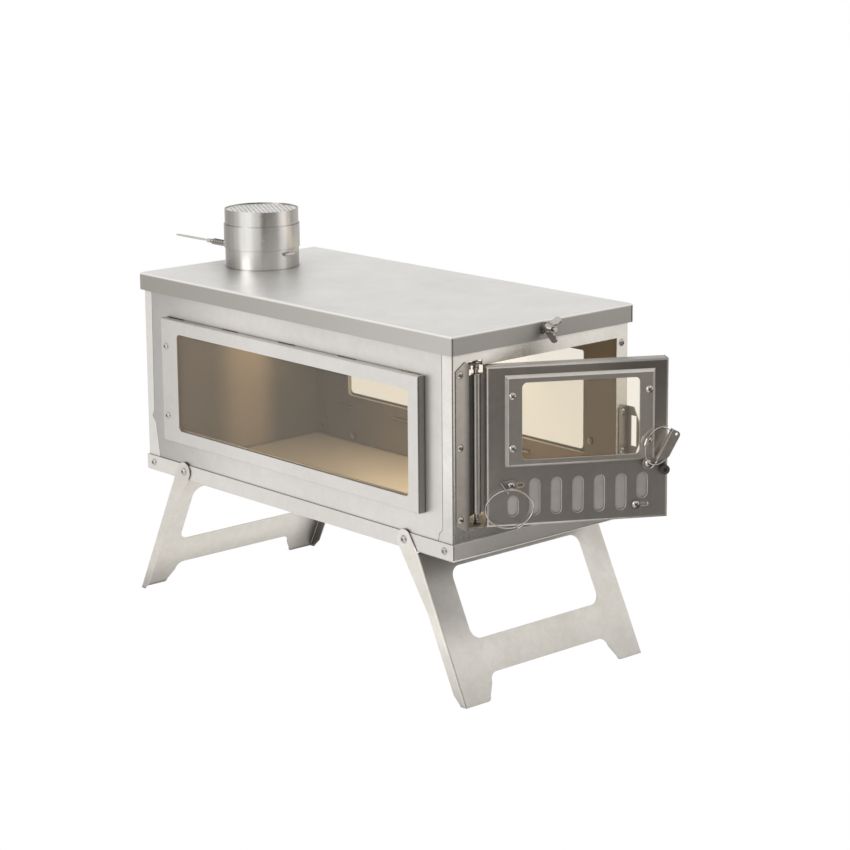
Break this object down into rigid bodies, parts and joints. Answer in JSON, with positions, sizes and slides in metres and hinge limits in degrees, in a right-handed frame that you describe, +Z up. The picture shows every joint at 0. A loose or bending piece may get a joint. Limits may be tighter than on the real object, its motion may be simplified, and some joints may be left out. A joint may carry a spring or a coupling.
{
  "type": "folding tent wood stove",
  "caption": "Folding sheet-steel tent stove on two leg frames, with side windows, a glazed latching door, an air slider, and a flue outlet with damper and spark mesh.",
  "frame": {"origin": "on the ground under the middle of the part's outline at rest, door standing open", "axes": "+Z up, -Y towards the door end, +X to the right as seen from in front of the door"},
  "size_m": [0.2272, 0.6122, 0.3674],
  "materials": {
    "base_tray": "satin, fine brushed",
    "front_panel": "satin, fine brushed",
    "rear_panel": "satin, fine brushed",
    "left_side_panel": "satin, fine brushed",
    "right_side_panel": "satin, fine brushed",
    "left_window_frame": "satin, fine brushed",
    "left_window_glass": "clear, faint amber tint",
    "left_window_gasket": "matt woven rope seal",
    "right_window_frame": "satin, fine brushed",
    "right_window_glass": "clear, faint amber tint",
    "right_window_gasket": "matt woven rope seal",
    "window_screws": "bright",
    "tray_screws": "bright",
    "leg_pivot_screws": "bright",
    "hinge_bracket": "satin, fine brushed",
    "hinge_bracket_screws": "bright",
    "hinge_pins": "bright",
    "front_post_screw": "bright",
    "latch_strike": "satin, fine brushed",
    "latch_strike_screws": "bright",
    "lid": "satin, fine brushed",
    "flue_collar": "satin, fine brushed",
    "lid_stud": "bright",
    "wing_nut": "bright",
    "damper_axle": "satin, fine brushed",
    "damper_plate": "satin, fine brushed",
    "damper_spring": "polished wire",
    "damper_loop": "satin, fine brushed",
    "flue_sleeve": "satin, fine brushed",
    "spark_cap_ring": "satin, fine brushed",
    "spark_mesh": "satin, fine brushed",
    "door_pan": "satin, brushed",
    "door_glass": "clear, faint amber tint",
    "door_glass_frame": "satin, brushed",
    "door_frame_screws": "bright",
    "latch_pivot_screw": "bright",
    "latch_stop": "matt",
    "air_slider": "satin, fine brushed",
    "slider_screws": "bright",
    "slider_tab": "satin, fine brushed",
    "slider_ring": "polished wire",
    "slider_ring_clasp": "polished wire",
    "latch_lever": "satin, fine brushed",
    "latch_ring": "polished wire",
    "latch_ring_clasp": "polished wire",
    "front_leg": "satin, fine brushed",
    "rear_leg": "satin, fine brushed"
  },
  "bodies": {
    "stove": {"base_tray": "base_tray", "front_panel": "front_panel", "rear_panel": "rear_panel", "left_side_panel": "left_side_panel", "right_side_panel": "right_side_panel", "left_window_frame": "left_window_frame", "left_window_glass": "left_window_glass", "left_window_gasket": "left_window_gasket", "right_window_frame": "right_window_frame", "right_window_glass": "right_window_glass", "right_window_gasket": "right_window_gasket", "window_screws": "window_screws", "tray_screws": "tray_screws", "leg_pivot_screws": "leg_pivot_screws", "hinge_bracket": "hinge_bracket", "hinge_bracket_screws": "hinge_bracket_screws", "hinge_pins": "hinge_pins", "front_post_screw": "front_post_screw", "latch_strike": "latch_strike", "latch_strike_screws": "latch_strike_screws"},
    "lid": {"lid": "lid", "flue_collar": "flue_collar", "lid_stud": "lid_stud"},
    "wing_nut": {"wing_nut": "wing_nut"},
    "damper": {"damper_axle": "damper_axle", "damper_plate": "damper_plate", "damper_spring": "damper_spring", "damper_loop": "damper_loop"},
    "flue_sleeve": {"flue_sleeve": "flue_sleeve"},
    "spark_cap": {"spark_cap_ring": "spark_cap_ring", "spark_mesh": "spark_mesh"},
    "door": {"door_pan": "door_pan", "door_glass": "door_glass", "door_glass_frame": "door_glass_frame", "door_frame_screws": "door_frame_screws", "latch_pivot_screw": "latch_pivot_screw", "latch_stop": "latch_stop"},
    "slider": {"air_slider": "air_slider", "slider_screws": "slider_screws", "slider_tab": "slider_tab"},
    "slider_ring": {"slider_ring": "slider_ring", "slider_ring_clasp": "slider_ring_clasp"},
    "latch": {"latch_lever": "latch_lever"},
    "latch_ring": {"latch_ring": "latch_ring", "latch_ring_clasp": "latch_ring_clasp"},
    "front_leg": {"front_leg": "front_leg"},
    "rear_leg": {"rear_leg": "rear_leg"}
  },
  "joints": [
    {"name": "lid_lift", "type": "slide", "parent": "stove", "child": "lid", "axis": [0, 0, 1], "range_m": [0, 0.06]},
    {"name": "wing_nut_turn", "type": "hinge", "parent": "lid", "child": "wing_nut", "pos_m": [0, -0.22, 0.305], "axis": [0, -1, 0], "continuous": true},
    {"name": "damper_turn", "type": "hinge", "parent": "lid", "child": "damper", "pos_m": [0, 0.165, 0.3265], "axis": [0, 1, 0], "range_deg": [0, 90]},
    {"name": "sleeve_lift", "type": "slide", "parent": "lid", "child": "flue_sleeve", "axis": [0, 0, 1], "range_m": [0, 0.03]},
    {"name": "cap_lift", "type": "slide", "parent": "flue_sleeve", "child": "spark_cap", "axis": [0, 0, 1], "range_m": [0, 0.03]},
    {"name": "door_swing", "type": "hinge", "parent": "stove", "child": "door", "pos_m": [-0.0743, -0.211, 0.21], "axis": [0, 0, 1], "range_deg": [-60, 30.3]},
    {"name": "air_slide", "type": "slide", "parent": "door", "child": "slider", "axis": [0.8634, -0.5045, 0], "range_m": [0, 0.00925]},
    {"name": "slider_ring_swing", "type": "hinge", "parent": "slider", "child": "slider_ring", "pos_m": [-0.05953, -0.23075, 0.17845], "axis": [-0.8634, 0.5045, 0], "range_deg": [0, 80]},
    {"name": "latch_drop", "type": "hinge", "parent": "door", "child": "latch", "pos_m": [0.04564, -0.29255, 0.1946], "axis": [-0.5045, -0.8634, 0], "range_deg": [-51.5, 0]},
    {"name": "latch_ring_swing", "type": "hinge", "parent": "latch", "child": "latch_ring", "pos_m": [0.06105, -0.3033, 0.22088], "axis": [-0.4447, 0.2599, 0.8572], "range_deg": [0, 4]},
    {"name": "front_leg_fold", "type": "hinge", "parent": "stove", "child": "front_leg", "pos_m": [0, -0.1555, 0.1298], "axis": [1, 0, 0], "range_deg": [0, 116]},
    {"name": "rear_leg_fold", "type": "hinge", "parent": "stove", "child": "rear_leg", "pos_m": [0, 0.1555, 0.1298], "axis": [-1, 0, 0], "range_deg": [0, 116]}
  ]
}
